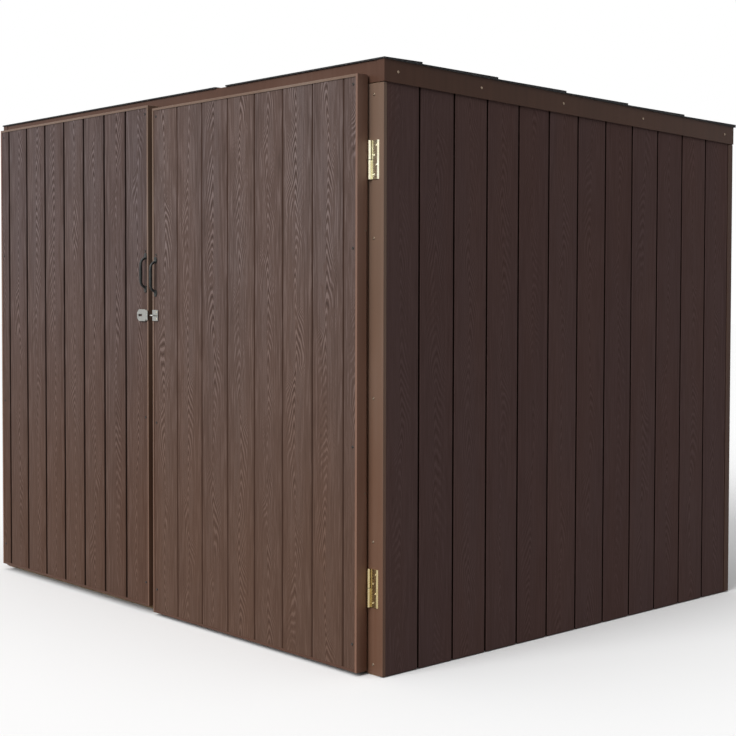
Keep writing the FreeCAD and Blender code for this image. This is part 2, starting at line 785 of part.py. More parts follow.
def staple():
    """Plate on the right door with a bent wire eye that stands out through the closed strap's slot."""
    plate_left = meeting_edge + staple_plate_edge
    front = door_front - hasp_leaf_thickness
    low = hasp_z - staple_plate_height / 2
    high = hasp_z + staple_plate_height / 2
    plate = box(plate_left, plate_left + staple_plate_width, front, door_front, low, high)
    bend = staple_span / 2
    out = front - staple_projection + staple_wire_radius
    knee = out + bend

    def point(y, across):
        """Point on the wire's middle line."""
        return Vector(staple_x + across, y, hasp_z)

    path = [
        Part.LineSegment(point(door_front, -bend), point(knee, -bend)).toShape(),
        Part.Arc(point(knee, -bend), point(out, 0.0), point(knee, bend)).toShape(),
        Part.LineSegment(point(knee, bend), point(door_front, bend)).toShape(),
    ]
    section = Part.Wire(Part.Circle(point(door_front, -bend), Vector(0, 1, 0), staple_wire_radius).toShape())
    eye = Part.Wire(path).makePipeShell([section], True, False)
    add("staple", plate.fuse(eye).removeSplitter())
    x = plate_left + staple_plate_width - staple_screw_from_edge
    for z in (low + staple_screw_from_edge, high - staple_screw_from_edge):
        screw("right_door_screws", Vector(x, front, z), Vector(0, 1, 0), short_screw_length,
              ["staple", "right_door_boards"], head_radius=hasp_head_radius, sunk=hasp_leaf_thickness)


base_frame()
roof_frame()
walls()
trims()
fascias()
deck()
shingles()
trim_screws()
doors()
hasp()
staple()

os.makedirs("parts", exist_ok=True)
for node in nodes:
    solids = drill_node(node)
    shape = solids[0] if len(solids) == 1 else Part.makeCompound(solids)
    shape.exportStep(f"parts/{node}.step")
    print(f"{node}: {len(solids)} solids, {shape.Volume / 1000:.1f} cm3, valid {shape.isValid()}")
print(f"{len(nodes)} nodes")
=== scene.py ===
"""Bike storage shed: eased pieces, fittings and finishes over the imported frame, with studio and camera."""
from __future__ import annotations

import json
import logging
import math
from dataclasses import dataclass, field
from enum import Enum
from typing import Callable, Iterator, Optional, Sequence, Union

import bmesh
import bpy
from mathutils import Euler, Matrix, Vector

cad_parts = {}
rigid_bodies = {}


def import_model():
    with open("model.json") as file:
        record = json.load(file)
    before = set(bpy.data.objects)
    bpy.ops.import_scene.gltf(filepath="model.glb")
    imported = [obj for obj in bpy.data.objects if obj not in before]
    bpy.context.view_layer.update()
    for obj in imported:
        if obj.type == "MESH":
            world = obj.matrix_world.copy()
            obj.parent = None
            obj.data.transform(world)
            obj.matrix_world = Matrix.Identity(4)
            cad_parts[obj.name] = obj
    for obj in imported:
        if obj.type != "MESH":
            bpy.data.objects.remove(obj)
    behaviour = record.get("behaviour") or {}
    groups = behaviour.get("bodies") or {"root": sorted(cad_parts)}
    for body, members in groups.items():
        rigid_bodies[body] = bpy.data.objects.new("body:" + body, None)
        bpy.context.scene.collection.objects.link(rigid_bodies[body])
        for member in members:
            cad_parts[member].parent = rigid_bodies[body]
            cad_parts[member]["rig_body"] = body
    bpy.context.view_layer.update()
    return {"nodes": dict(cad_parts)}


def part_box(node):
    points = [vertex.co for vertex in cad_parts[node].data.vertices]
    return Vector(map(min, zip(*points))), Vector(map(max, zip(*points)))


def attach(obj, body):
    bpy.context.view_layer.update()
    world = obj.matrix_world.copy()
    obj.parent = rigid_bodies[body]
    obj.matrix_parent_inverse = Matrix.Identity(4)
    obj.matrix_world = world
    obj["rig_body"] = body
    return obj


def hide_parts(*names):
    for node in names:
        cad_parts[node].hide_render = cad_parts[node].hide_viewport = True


LOG = logging.getLogger("bike_shed")

Pair = tuple[float, float]
Triple = tuple[float, float, float]
Colour = Triple
Socket = bpy.types.NodeSocket
Signal = Union[Socket, float]
Shell = bmesh.types.BMesh
Point = bmesh.types.BMVert

GRAIN_ACROSS = "grain_across"
GRAIN_SEED = "grain_seed"
GRAIN_SUNK = "grain_sunk"
GOLDEN_STEP = 0.618034
WELD_REACH = 1e-6
FLAT_ANGLE = math.radians(0.6)
EASED_ANGLE = math.radians(35.0)
FOOT_LEVEL = 0.15
TOP_LEVEL = 1.40
PLAIN_TINT = (1.0, 1.0, 1.0)
UNSCALED = (1.0, 1.0, 1.0)


class Axis(Enum):
    """Direction in the shed's frame."""

    ACROSS = 0
    DEEP = 1
    UP = 2


class Side(Enum):
    """Hand of a door, seen from the front."""

    LEFT = "left"
    RIGHT = "right"


class HeadStyle(Enum):
    """How a screw's head sits in its piece, as its rim's outline in shares of radius and height."""

    PAN = ((0.58, 0.0), (0.80, -0.16), (0.95, -0.48), (1.0, -1.0))
    FLUSH = ((0.58, 0.0), (0.86, 0.0), (0.97, -0.06), (1.0, -0.30))


class Shader:
    """Node tree of one material, with short calls for the nodes that the finishes share."""

    def __init__(self, name: str) -> None:
        """Start a material that holds one principled surface.

        Args:
            name: The material's name.
        """
        self.material = bpy.data.materials.new(name)
        self.material.use_nodes = True
        self.tree = self.material.node_tree
        self.skin = self.tree.nodes["Principled BSDF"]

    def node(self, kind: str, **settings: object) -> bpy.types.Node:
        """Add a node.

        Args:
            kind: Blender's type name of the node.
            **settings: Properties to set on it.

        Returns:
            The new node.
        """
        made = self.tree.nodes.new(kind)
        for key, value in settings.items():
            setattr(made, key, value)
        return made

    def feed(self, socket: Socket, value: object) -> None:
        """Link a socket to another one, or set it to a plain value.

        Args:
            socket: The input to fill.
            value: An output to link, or a number, vector or colour.
        """
        if isinstance(value, Socket):
            self.tree.links.new(value, socket)
        else:
            socket.default_value = value

    def math(self, operation: str, *values: Signal) -> Socket:
        """Add a math node.

        Args:
            operation: Blender's name of the operation.
            *values: Its inputs in order.

        Returns:
            The result.
        """
        made = self.node("ShaderNodeMath", operation=operation)
        for socket, value in zip(made.inputs, values):
            self.feed(socket, value)
        return made.outputs[0]

    def scaled(self, value: Signal, gain: float, shift: float = 0.0) -> Socket:
        """Multiply a signal by a gain and then add a shift to it."""
        return self.math("MULTIPLY_ADD", value, gain, shift)

    def mingled(self, first: Socket, second: Socket, share: float) -> Socket:
        """Add two signals so that the second has a given share of the whole."""
        return self.math("ADD", self.scaled(first, 1.0 - share), self.scaled(second, share))

    def span(self, value: Signal, low: float, high: float, start: float, end: float) -> Socket:
        """Map a stretch of a signal smoothly to another stretch.

        Args:
            value: The signal.
            low: Where the stretch begins.
            high: Where it ends.
            start: The result at its beginning.
            end: The result at its end.

        Returns:
            The mapped signal.
        """
        made = self.node("ShaderNodeMapRange", interpolation_type="SMOOTHSTEP")
        for socket, item in zip(made.inputs, (value, low, high, start, end)):
            self.feed(socket, item)
        return made.outputs[0]

    def parts(self, output: str) -> list[Socket]:
        """Split one of the surface's own vectors.

        Args:
            output: Blender's name of the vector.

        Returns:
            Its X, Y and Z.
        """
        made = self.node("ShaderNodeSeparateXYZ")
        self.feed(made.inputs[0], self.node("ShaderNodeTexCoord").outputs[output])
        return list(made.outputs)

    def place(self) -> list[Socket]:
        """X, Y and Z of the surface point in the piece's own frame, in metres."""
        return self.parts("Object")

    def facing(self) -> list[Socket]:
        """X, Y and Z of the direction that the surface faces."""
        return self.parts("Normal")

    def vector(self, x: Signal, y: Signal, z: Signal) -> Socket:
        """Join three signals to a vector.

        Args:
            x: Its first part.
            y: Its second part.
            z: Its third part.

        Returns:
            The vector.
        """
        made = self.node("ShaderNodeCombineXYZ")
        for socket, value in zip(made.inputs, (x, y, z)):
            self.feed(socket, value)
        return made.outputs[0]

    def stretched(self, scales: Sequence[float]) -> Socket:
        """Place of the surface point, each direction scaled by its own number."""
        return self.vector(*(self.math("MULTIPLY", part, scale) for part, scale in zip(self.place(), scales)))

    def attribute(self, name: str) -> Socket:
        """Number that the mesh carries under a name."""
        return self.node("ShaderNodeAttribute", attribute_name=name).outputs["Fac"]

    def noise(self, spot: Socket, detail: float = 2.0, scale: float = 1.0) -> Socket:
        """Add cloudy noise.

        Args:
            spot: Where it is read.
            detail: How many finer layers it has.
            scale: Its frequency.

        Returns:
            A signal from 0 to 1.
        """
        made = self.node("ShaderNodeTexNoise")
        self.feed(made.inputs["Vector"], spot)
        self.feed(made.inputs["Scale"], scale)
        self.feed(made.inputs["Detail"], detail)
        return made.outputs[0]

    def cells(self, spot: Socket, scale: float) -> tuple[Socket, Socket]:
        """Add random cells.

        Args:
            spot: Where they are read.
            scale: Cells per metre.

        Returns:
            The distance to the cell's middle, and a colour of its own.
        """
        made = self.node("ShaderNodeTexVoronoi")
        self.feed(made.inputs["Vector"], spot)
        self.feed(made.inputs["Scale"], scale)
        return made.outputs["Distance"], made.outputs["Color"]

    def ramp(self, value: Signal, *stops: tuple[float, Colour]) -> Socket:
        """Turn a signal into a colour.

        Args:
            value: The signal.
            *stops: Places from 0 to 1 with their colours, in order.

        Returns:
            The colour.
        """
        made = self.node("ShaderNodeValToRGB")
        elements = made.color_ramp.elements
        while len(elements) < len(stops):
            elements.new(1.0)
        for element, (position, colour) in zip(elements, stops):
            element.position = position
            element.color = (*colour, 1.0)
        self.feed(made.inputs[0], value)
        return made.outputs[0]

    def blend(self, factor: Signal, first: object, second: object, mode: str = "MIX") -> Socket:
        """Mix two colours.

        Args:
            factor: How much of the second shows.
            first: The colour below.
            second: The colour above.
            mode: Blender's name of the way they mix.

        Returns:
            The mixed colour.
        """
        made = self.node("ShaderNodeMix", data_type="RGBA", blend_type=mode)
        self.feed(made.inputs["Factor"], factor)
        self.feed(made.inputs[6], first)
        self.feed(made.inputs[7], second)
        return made.outputs[2]

    def graded(self, colour: Socket, below: Colour, above: Colour) -> Socket:
        """Tint a colour by the height of the surface point. Where the finishes use it, the upper tint is a
        painted sheen and the lower one darkens the foot.

        Args:
            colour: The colour.
            below: Its tint at the shed's foot.
            above: Its tint at the shed's top.

        Returns:
            The tinted colour, or the colour itself where both tints are plain.
        """
        if below == above == PLAIN_TINT:
            return colour
        rise = self.span(self.place()[2], FOOT_LEVEL, TOP_LEVEL, 0.0, 1.0)
        return self.blend(1.0, colour, self.ramp(rise, (0.0, below), (1.0, above)), "MULTIPLY")

    def paint(self, colour: object, roughness: object, metallic: float = 0.0, specular: float = 0.5) -> None:
        """Fill the surface's main sockets.

        Args:
            colour: Base colour.
            roughness: Roughness.
            metallic: 1 for bare metal.
            specular: Level of the plain reflection.
        """
        self.feed(self.skin.inputs["Base Color"], colour)
        self.feed(self.skin.inputs["Roughness"], roughness)
        self.feed(self.skin.inputs["Metallic"], metallic)
        self.feed(self.skin.inputs["Specular IOR Level"], specular)

    def emboss(self, height: Socket, depth: float, strength: float = 1.0) -> None:
        """Let a height signal tilt the surface's normal.

        Args:
            height: The height, from 0 to 1.
            depth: The height that 1 stands for, in metres.
            strength: How much of it shows.
        """
        made = self.node("ShaderNodeBump")
        self.feed(made.inputs["Strength"], strength)
        self.feed(made.inputs["Distance"], depth)
        self.feed(made.inputs["Height"], height)
        self.feed(self.skin.inputs["Normal"], made.outputs[0])


@dataclass(frozen=True)
class Finish:
    """Look of one material, made once and shared by its pieces."""

    name: str
    slot: str

    def material(self) -> bpy.types.Material:
        """The finish's material, made at its first use."""
        known = bpy.data.materials.get(self.name)
        if known:
            return known
        shader = Shader(self.name)
        self.make(shader)
        return shader.material

    def make(self, shader: Shader) -> None:
        """Fill the material's nodes."""
        raise NotImplementedError


@dataclass(frozen=True)
class Cloud:
    """Noise on a board: its waves per metre, its finer layers, and the band of it that counts."""

    across: float
    along: float
    detail: float = 2.0
    low: float = 0.35
    high: float = 0.65


@dataclass
class BoardNoise:
    """Noise that each board has to itself, read by the place on the board."""

    shader: Shader
    across: Socket
    along: Socket
    layer: Socket

    def plain(self, cloud: Cloud) -> Socket:
        """The noise as it is.

        Args:
            cloud: Which noise.

        Returns:
            A signal from 0 to 1.
        """
        across = self.shader.scaled(self.across, cloud.across)
        along = self.shader.scaled(self.along, cloud.along)
        return self.shader.noise(self.shader.vector(across, self.layer, along), cloud.detail)

    def swing(self, cloud: Cloud, width: float) -> Socket:
        """The noise spread evenly about zero over a width."""
        return self.shader.scaled(self.plain(cloud), width, -width / 2)

    def band(self, cloud: Cloud, start: float, end: float) -> Socket:
        """The band of the noise that counts, mapped smoothly to another stretch."""
        return self.shader.span(self.plain(cloud), cloud.low, cloud.high, start, end)


@dataclass(frozen=True)
class EmbossedBoard(Finish):
    """Wood-plastic board: uneven arches of pressed grain up its middle, straight strands beside them."""

    below: Colour = PLAIN_TINT
    above: Colour = PLAIN_TINT
    furrow: Colour = (0.046, 0.028, 0.021)
    face: Colour = (0.099, 0.061, 0.047)
    crest: Colour = (0.180, 0.123, 0.102)
    # Colour of the painted shade deep in the grooves between boards.
    groove_shade: Colour = (0.022, 0.012, 0.009)
    warm: Colour = (1.02, 0.985, 0.96)
    cool: Colour = (0.985, 1.00, 1.02)
    dark_board: Colour = (0.95, 0.94, 0.94)
    light_board: Colour = (1.04, 1.04, 1.03)
    arch_pitch: float = 0.032
    arch_tip: float = 0.005
    arch_drift: float = 6.0
    arch_ripple: float = 2.5
    line_pitch: float = 0.0066
    line_thinness: float = 1.1
    least_steep: float = 0.82
    most_steep: float = 1.60
    break_level: float = 0.48
    skew: float = 0.60
    sway: float = 0.030
    heart_inner: float = 0.010
    heart_outer: float = 0.052
    heart_fray: float = 0.022
    heart_least: float = 0.45
    strand_low: float = 0.18
    strand_high: float = 0.76
    strands_hidden: float = 0.85
    fibre_share: float = 0.24
    board_shift: float = 9.0
    board_layer: float = 40.0
    groove_lip: float = 0.03
    groove_floor: float = 0.34
    relief: float = 0.0010
    relief_shown: float = 0.8
    rough: float = 0.70
    smooth: float = 0.52
    shine: float = 0.10
    # How far the grain fades at the foot; the stronger grain up high stands for painted highlights on its
    # ridges.
    calm: float = 0.0
    sway_cloud: Cloud = Cloud(7.0, 2.1)
    skew_cloud: Cloud = Cloud(0.6, 3.1, 1.0, 0.36, 0.64)
    steep_cloud: Cloud = Cloud(0.5, 2.8, 1.0, 0.34, 0.66)
    drift_cloud: Cloud = Cloud(0.8, 1.9, 1.0)
    ripple_cloud: Cloud = Cloud(30.0, 5.5)
    break_cloud: Cloud = Cloud(75.0, 16.0, 2.0, 0.28, 0.48)
    fray_cloud: Cloud = Cloud(34.0, 6.0)
    patch_cloud: Cloud = Cloud(5.0, 3.4, 2.0, 0.34, 0.58)
    strand_cloud: Cloud = Cloud(185.0, 9.0, 3.0, 0.34, 0.66)
    fibre_cloud: Cloud = Cloud(900.0, 30.0)
    tone_cloud: Cloud = Cloud(6.0, 1.1)

    def make(self, shader: Shader) -> None:
        """Fill the material's nodes.

        Args:
            shader: The material's node tree.
        """
        seed = shader.attribute(GRAIN_SEED)
        level = shader.place()[2]
        along = shader.math("ADD", level, shader.scaled(seed, self.board_shift))
        layer = shader.scaled(seed, self.board_layer)
        noise = BoardNoise(shader, shader.attribute(GRAIN_ACROSS), along, layer)
        height = self.height(noise)
        colour = shader.ramp(height, (0.12, self.furrow), (0.36, self.face),
                             (0.56, self.face), (0.82, self.crest))
        tone = shader.ramp(noise.band(self.tone_cloud, 0.0, 1.0), (0.0, self.warm), (1.0, self.cool))
        own = shader.ramp(seed, (0.0, self.dark_board), (1.0, self.light_board))
        for tint in (tone, own):
            colour = shader.blend(1.0, colour, tint, "MULTIPLY")
        # Grain fades towards the foot, so its light crests show only up high: painted highlights on the grain
        # ridges.
        if self.calm:
            hidden = shader.span(level, FOOT_LEVEL, TOP_LEVEL, self.calm, 0.0)
            colour = shader.blend(hidden, colour, (*self.face, 1.0))
        # Height tints: painted sheen up high, darker at the foot.
        colour = shader.graded(colour, self.below, self.above)
        # Painted shade: points below the board's face darken towards the dark groove colour by their depth.
        sunk = shader.span(shader.attribute(GRAIN_SUNK), self.groove_lip, self.groove_floor, 0.0, 1.0)
        colour = shader.blend(sunk, colour, (*self.groove_shade, 1.0))
        shader.paint(colour, shader.span(height, 0.1, 0.9, self.rough, self.smooth), specular=self.shine)
        shader.emboss(height, self.relief, self.relief_shown)

    def height(self, noise: BoardNoise) -> Socket:
        """Height of the pressed grain.

        Args:
            noise: The boards' noise.

        Returns:
            The height, from 0 to 1.
        """
        shader = noise.shader
        offset = shader.math("ADD", noise.across, noise.swing(self.sway_cloud, self.sway))
        fray = noise.swing(self.fray_cloud, self.heart_fray)
        spread = shader.math("ADD", shader.math("ABSOLUTE", offset), fray)
        heart = shader.span(spread, self.heart_inner, self.heart_outer, 1.0, 0.0)
        heart = shader.math("MULTIPLY", heart, noise.band(self.patch_cloud, self.heart_least, 1.0))
        strands = noise.band(self.strand_cloud, self.strand_low, self.strand_high)
        strands = shader.math("MULTIPLY", strands, shader.scaled(heart, -self.strands_hidden, 1.0))
        grain = shader.math("MULTIPLY_ADD", self.arches(noise, offset), heart, strands)
        return shader.mingled(grain, noise.plain(self.fibre_cloud), self.fibre_share)

    def arches(self, noise: BoardNoise, offset: Socket) -> Socket:
        """Lines that run up one side of the heart and down the other.

        Args:
            noise: The boards' noise.
            offset: The distance from the heart's middle line.

        Returns:
            The lines' height, from 0 to 1.
        """
        shader = noise.shader
        root = shader.math("SQRT", shader.math("MULTIPLY_ADD", offset, offset, self.arch_tip ** 2))
        wing = shader.math("MULTIPLY_ADD", noise.band(self.skew_cloud, -self.skew, self.skew), offset, root)
        steep = noise.band(self.steep_cloud, self.least_steep / self.line_pitch,
                           self.most_steep / self.line_pitch)
        phase = shader.math("MULTIPLY_ADD", wing, steep, shader.scaled(noise.along, 1.0 / self.arch_pitch))
        for cloud, width in ((self.drift_cloud, self.arch_drift), (self.ripple_cloud, self.arch_ripple)):
            phase = shader.math("ADD", phase, noise.swing(cloud, width))
        lines = shader.scaled(shader.math("SINE", shader.scaled(phase, math.tau)), 0.5, 0.5)
        lines = shader.math("POWER", lines, self.line_thinness)
        kept = shader.math("SUBTRACT", lines, self.break_level)
        return shader.math("MULTIPLY_ADD", kept, noise.band(self.break_cloud, 0.0, 1.0), self.break_level)


@dataclass(frozen=True)
class SatinBrown(Finish):
    """Brown powder coat with a soft shine and a little dust."""

    deep: Colour = (0.142, 0.074, 0.047)
    coat: Colour = (0.171, 0.092, 0.059)
    dusty: Colour = (0.205, 0.125, 0.089)
    shine: float = 0.25
    below: Colour = PLAIN_TINT
    above: Colour = PLAIN_TINT
    smooth: float = 0.36
    dull: float = 0.50
    broad_scale: Triple = (2.2, 2.2, 1.4)
    streak_scale: Triple = (55.0, 55.0, 1.8)
    streak_share: float = 0.3
    peel_scale: Triple = (420.0, 420.0, 420.0)
    peel_depth: float = 0.00025
    peel_shown: float = 0.35

    def make(self, shader: Shader) -> None:
        """Fill the material's nodes.

        Args:
            shader: The material's node tree.
        """
        broad = shader.noise(shader.stretched(self.broad_scale), 3.0)
        tone = shader.mingled(broad, shader.noise(shader.stretched(self.streak_scale)), self.streak_share)
        colour = shader.ramp(tone, (0.32, self.deep), (0.50, self.coat), (0.72, self.dusty))
        colour = shader.graded(colour, self.below, self.above)
        shader.paint(colour, shader.span(tone, 0.3, 0.7, self.smooth, self.dull), specular=self.shine)
        shader.emboss(shader.noise(shader.stretched(self.peel_scale)), self.peel_depth, self.peel_shown)


@dataclass(frozen=True)
class GranuleFelt(Finish):
    """Black bitumen shingle with mineral granules."""

    bitumen: Colour = (0.009, 0.009, 0.010)
    granule: Colour = (0.026, 0.026, 0.028)
    glint: Colour = (0.095, 0.092, 0.090)
    dark_patch: Colour = (0.75, 0.75, 0.76)
    light_patch: Colour = (1.2, 1.19, 1.18)
    granule_scale: float = 520.0
    patch_scale: float = 5.0
    rough: float = 0.95
    smooth: float = 0.78
    shine: float = 0.3
    relief: float = 0.0012
    relief_shown: float = 0.9

    def make(self, shader: Shader) -> None:
        """Fill the material's nodes.

        Args:
            shader: The material's node tree.
        """
        spot = shader.stretched(UNSCALED)
        distance, own = shader.cells(spot, self.granule_scale)
        colour = shader.ramp(own, (0.15, self.bitumen), (0.55, self.granule), (0.97, self.glint))
        patch = shader.noise(spot, 3.0, self.patch_scale)
        tint = shader.ramp(patch, (0.3, self.dark_patch), (0.7, self.light_patch))
        colour = shader.blend(1.0, colour, tint, "MULTIPLY")
        shader.paint(colour, shader.span(own, 0.2, 0.9, self.rough, self.smooth), specular=self.shine)
        shader.emboss(shader.scaled(distance, -1.0, 1.0), self.relief, self.relief_shown)


@dataclass(frozen=True)
class BareMetal(Finish):
    """Plated or polished metal with clouded shine and fine rub marks."""

    dark: Colour = (0.40, 0.40, 0.38)
    light: Colour = (0.62, 0.62, 0.59)
    smooth: float = 0.22
    rough: float = 0.40
    spangle: float = 260.0
    rub: Triple = (90.0, 90.0, 1400.0)
    rub_share: float = 0.35
    relief: float = 0.00012
    relief_shown: float = 0.5
    below: Colour = PLAIN_TINT
    above: Colour = PLAIN_TINT

    def make(self, shader: Shader) -> None:
        """Fill the material's nodes.

        Args:
            shader: The material's node tree.
        """
        cloud = shader.noise(shader.stretched(UNSCALED), 3.0, self.spangle)
        tone = shader.mingled(cloud, shader.noise(shader.stretched(self.rub)), self.rub_share)
        colour = shader.ramp(tone, (0.30, self.dark), (0.66, self.light))
        colour = shader.graded(colour, self.below, self.above)
        shader.paint(colour, shader.span(tone, 0.3, 0.7, self.rough, self.smooth), metallic=1.0)
        shader.emboss(tone, self.relief, self.relief_shown)


@dataclass(frozen=True)
class BlackIron(Finish):
    """Black paint on iron, half shiny, thin at the high spots."""

    paint_dark: Colour = (0.010, 0.011, 0.011)
    paint_light: Colour = (0.030, 0.033, 0.031)
    cloud_scale: float = 90.0
    smooth: float = 0.30
    rough: float = 0.46
    shine: float = 0.28
    peel_scale: float = 900.0
    peel_depth: float = 0.0002
    peel_shown: float = 0.4

    def make(self, shader: Shader) -> None:
        """Fill the material's nodes.

        Args:
            shader: The material's node tree.
        """
        spot = shader.stretched(UNSCALED)
        cloud = shader.noise(spot, 3.0, self.cloud_scale)
        colour = shader.ramp(cloud, (0.3, self.paint_dark), (0.7, self.paint_light))
        shader.paint(colour, shader.span(cloud, 0.3, 0.7, self.smooth, self.rough), specular=self.shine)
        shader.emboss(shader.noise(spot, 2.0, self.peel_scale), self.peel_depth, self.peel_shown)


@dataclass(frozen=True)
class SawnTimber(Finish):
    """Pale softwood with growth lines along the bar."""

    grain: Axis = Axis.UP
    early: Colour = (0.56, 0.40, 0.23)
    late: Colour = (0.36, 0.22, 0.11)
    across_scale: float = 70.0
    along_scale: float = 2.4
    fuzz_finer: float = 9.0
    fuzz_share: float = 0.2
    smooth: float = 0.62
    rough: float = 0.78
    shine: float = 0.3
    relief: float = 0.0006
    relief_shown: float = 0.5

    def make(self, shader: Shader) -> None:
        """Fill the material's nodes.

        Args:
            shader: The material's node tree.
        """
        scales = [self.across_scale] * 3
        scales[self.grain.value] = self.along_scale
        lines = shader.noise(shader.stretched(scales), 4.0)
        fuzz = shader.noise(shader.stretched([scale * self.fuzz_finer for scale in scales]))
        tone = shader.mingled(lines, fuzz, self.fuzz_share)
        colour = shader.ramp(tone, (0.36, self.late), (0.50, self.early),
                             (0.68, self.late), (0.80, self.early))
        shader.paint(colour, shader.span(tone, 0.3, 0.7, self.smooth, self.rough), specular=self.shine)
        shader.emboss(tone, self.relief, self.relief_shown)


@dataclass(frozen=True)
class Sheathing(Finish):
    """Roof board of pressed strands, with black felt on its upper side."""

    strand_dark: Colour = (0.34, 0.22, 0.11)
    strand_light: Colour = (0.64, 0.48, 0.29)
    felt: Colour = (0.014, 0.014, 0.015)
    swirl_scale: Triple = (5.0, 5.0, 5.0)
    swirl: float = 0.25
    strand_scale: float = 16.0
    strand_length: float = 4.0
    fibre_scale: Triple = (25.0, 380.0, 380.0)
    fibre_share: float = 0.4
    rough: float = 0.70
    smooth: float = 0.58
    shine: float = 0.3
    relief: float = 0.0008
    relief_shown: float = 0.6

    def make(self, shader: Shader) -> None:
        """Fill the material's nodes.

        Args:
            shader: The material's node tree.
        """
        x, y, z = shader.place()
        bend = shader.noise(shader.stretched(self.swirl_scale))
        bent = shader.vector(shader.math("MULTIPLY_ADD", bend, self.swirl, x),
                             shader.scaled(y, self.strand_length), shader.scaled(z, self.strand_length))
        distance, own = shader.cells(bent, self.strand_scale)
        fibre = shader.noise(shader.stretched(self.fibre_scale), 3.0)
        tone = shader.mingled(own, fibre, self.fibre_share)
        colour = shader.ramp(tone, (0.2, self.strand_dark), (0.8, self.strand_light))
        upward = shader.span(shader.facing()[2], 0.5, 0.8, 0.0, 1.0)
        colour = shader.blend(upward, colour, (*self.felt, 1.0))
        shader.paint(colour, shader.span(tone, 0.2, 0.8, self.rough, self.smooth), specular=self.shine)
        shader.emboss(shader.mingled(distance, fibre, self.fibre_share), self.relief, self.relief_shown)


# Wall boards: the same boards as on the doors, in a copy with flatter, paler grain tuned to the shaded side
# walls; the difference from the door boards is painted light.
WALL_BOARD = EmbossedBoard("wall_board", "boards", furrow=(0.102, 0.061, 0.055), face=(0.126, 0.076, 0.070),
                           crest=(0.150, 0.093, 0.087), relief=0.0005, shine=0.03)
# Door boards: the height tints paint shade low down and a cool sky sheen up high, and the left door's darker
# tints are painted fall-off of light across the front. The right door's paler groove colour is a lighter
# painted shade in its grooves.
DOOR_BOARD = {
    Side.LEFT: EmbossedBoard("left_door_board", "boards", below=(0.865, 0.735, 0.645),
                             above=(0.94, 1.04, 1.23), calm=0.46),
    Side.RIGHT: EmbossedBoard("right_door_board", "boards", below=(1.03, 0.94, 0.86),
                              above=(1.14, 1.26, 1.43), groove_shade=(0.064, 0.031, 0.020), calm=0.46),
}
# Corner trims and door channels: cooler and lighter up high, darker low down: painted sheen and painted
# shade.
TRIM = SatinBrown("satin_brown", "brown_trim", below=(0.88, 0.82, 0.79), above=(1.10, 1.30, 1.44))
# Same brown coat as the trims, lighter and redder: a painted-lit copy for the hinge stiles, whose edges face
# the sides.
LIT_TRIM = SatinBrown("brown_coat_painted_lit", "brown_trim", (0.207, 0.104, 0.072), (0.249, 0.129, 0.092),
                   (0.293, 0.170, 0.128), below=(0.88, 0.87, 0.80), above=(0.90, 1.00, 1.03))
# Same brown coat as the trims, darker: a painted-shade copy for the fascias, back trims and door bottom
# channels.
SHADED_TRIM = SatinBrown("brown_coat_painted_shade", "brown_trim", (0.084, 0.041, 0.027), (0.099, 0.049, 0.033),
                    (0.118, 0.065, 0.047), shine=0.12)
FELT = GranuleFelt("granule_felt", "shingles")
# Brass is brighter and cooler up high: a painted reflection. It is darker and yellower towards the foot.
BRASS = BareMetal("bright_brass", "brass", (0.66, 0.58, 0.36), (0.86, 0.80, 0.58), smooth=0.24, rough=0.30,
                  spangle=40.0, rub=(40.0, 40.0, 300.0), relief=0.00002,
                  below=(0.72, 0.64, 0.50), above=(1.08, 1.14, 1.24))
# Near-black pin metal: painted shade in the split between the knuckles.
SHADED_PIN = BareMetal("pin_painted_shade", "brass", (0.030, 0.026, 0.018), (0.075, 0.065, 0.045),
                      smooth=0.34, rough=0.50)
ZINC = BareMetal("dull_zinc", "zinc", (0.27, 0.27, 0.255), (0.43, 0.43, 0.405))
BRIGHT_SCREW = BareMetal("bright_screw", "screw_steel", (0.50, 0.44, 0.32), (0.80, 0.72, 0.56))
DULL_SCREW = BareMetal("dull_screw", "screw_steel", (0.13, 0.095, 0.068), (0.29, 0.225, 0.165),
                       smooth=0.34, rough=0.50)
DARK_SCREW = BareMetal("blackened_screw", "screw_steel", (0.020, 0.018, 0.017), (0.060, 0.054, 0.050),
                       smooth=0.34, rough=0.52)
IRON = BlackIron("black_iron_paint", "black_iron")
STRANDS = Sheathing("strand_board", "deck")
TIMBER = {grain: SawnTimber("timber_" + grain.name.lower(), "timber", grain) for grain in Axis}


def islands(shell: Shell) -> Iterator[list[Point]]:
    """Separate solids of a mesh.

    Args:
        shell: The mesh.

    Yields:
        The points of each solid.
    """
    left = set(shell.verts)
    for first in list(shell.verts):
        if first not in left:
            continue
        left.discard(first)
        group = [first]
        for point in group:
            for edge in point.link_edges:
                other = edge.other_vert(point)
                if other in left:
                    left.discard(other)
                    group.append(other)
        yield group


def corners(points: Sequence[Vector]) -> tuple[Vector, Vector]:
    """Lowest and highest corner of some points."""
    columns = list(zip(*points))
    return Vector([min(column) for column in columns]), Vector([max(column) for column in columns])


def longest(low: Vector, high: Vector) -> Axis:
    """Direction in which a box is longest."""
    size = high - low
    return max(Axis, key=lambda axis: size[axis.value])


def bridge(shell: Shell, rings: Sequence[Sequence[Point]]) -> None:
    """Join closed rings of equal count with faces.

    Args:
        shell: The mesh that gets the faces.
        rings: The rings in order.
    """
    for near, far in zip(rings, rings[1:]):
        for index in range(len(near)):
            after = (index + 1) % len(near)
            shell.faces.new((near[index], near[after], far[after], far[index]))


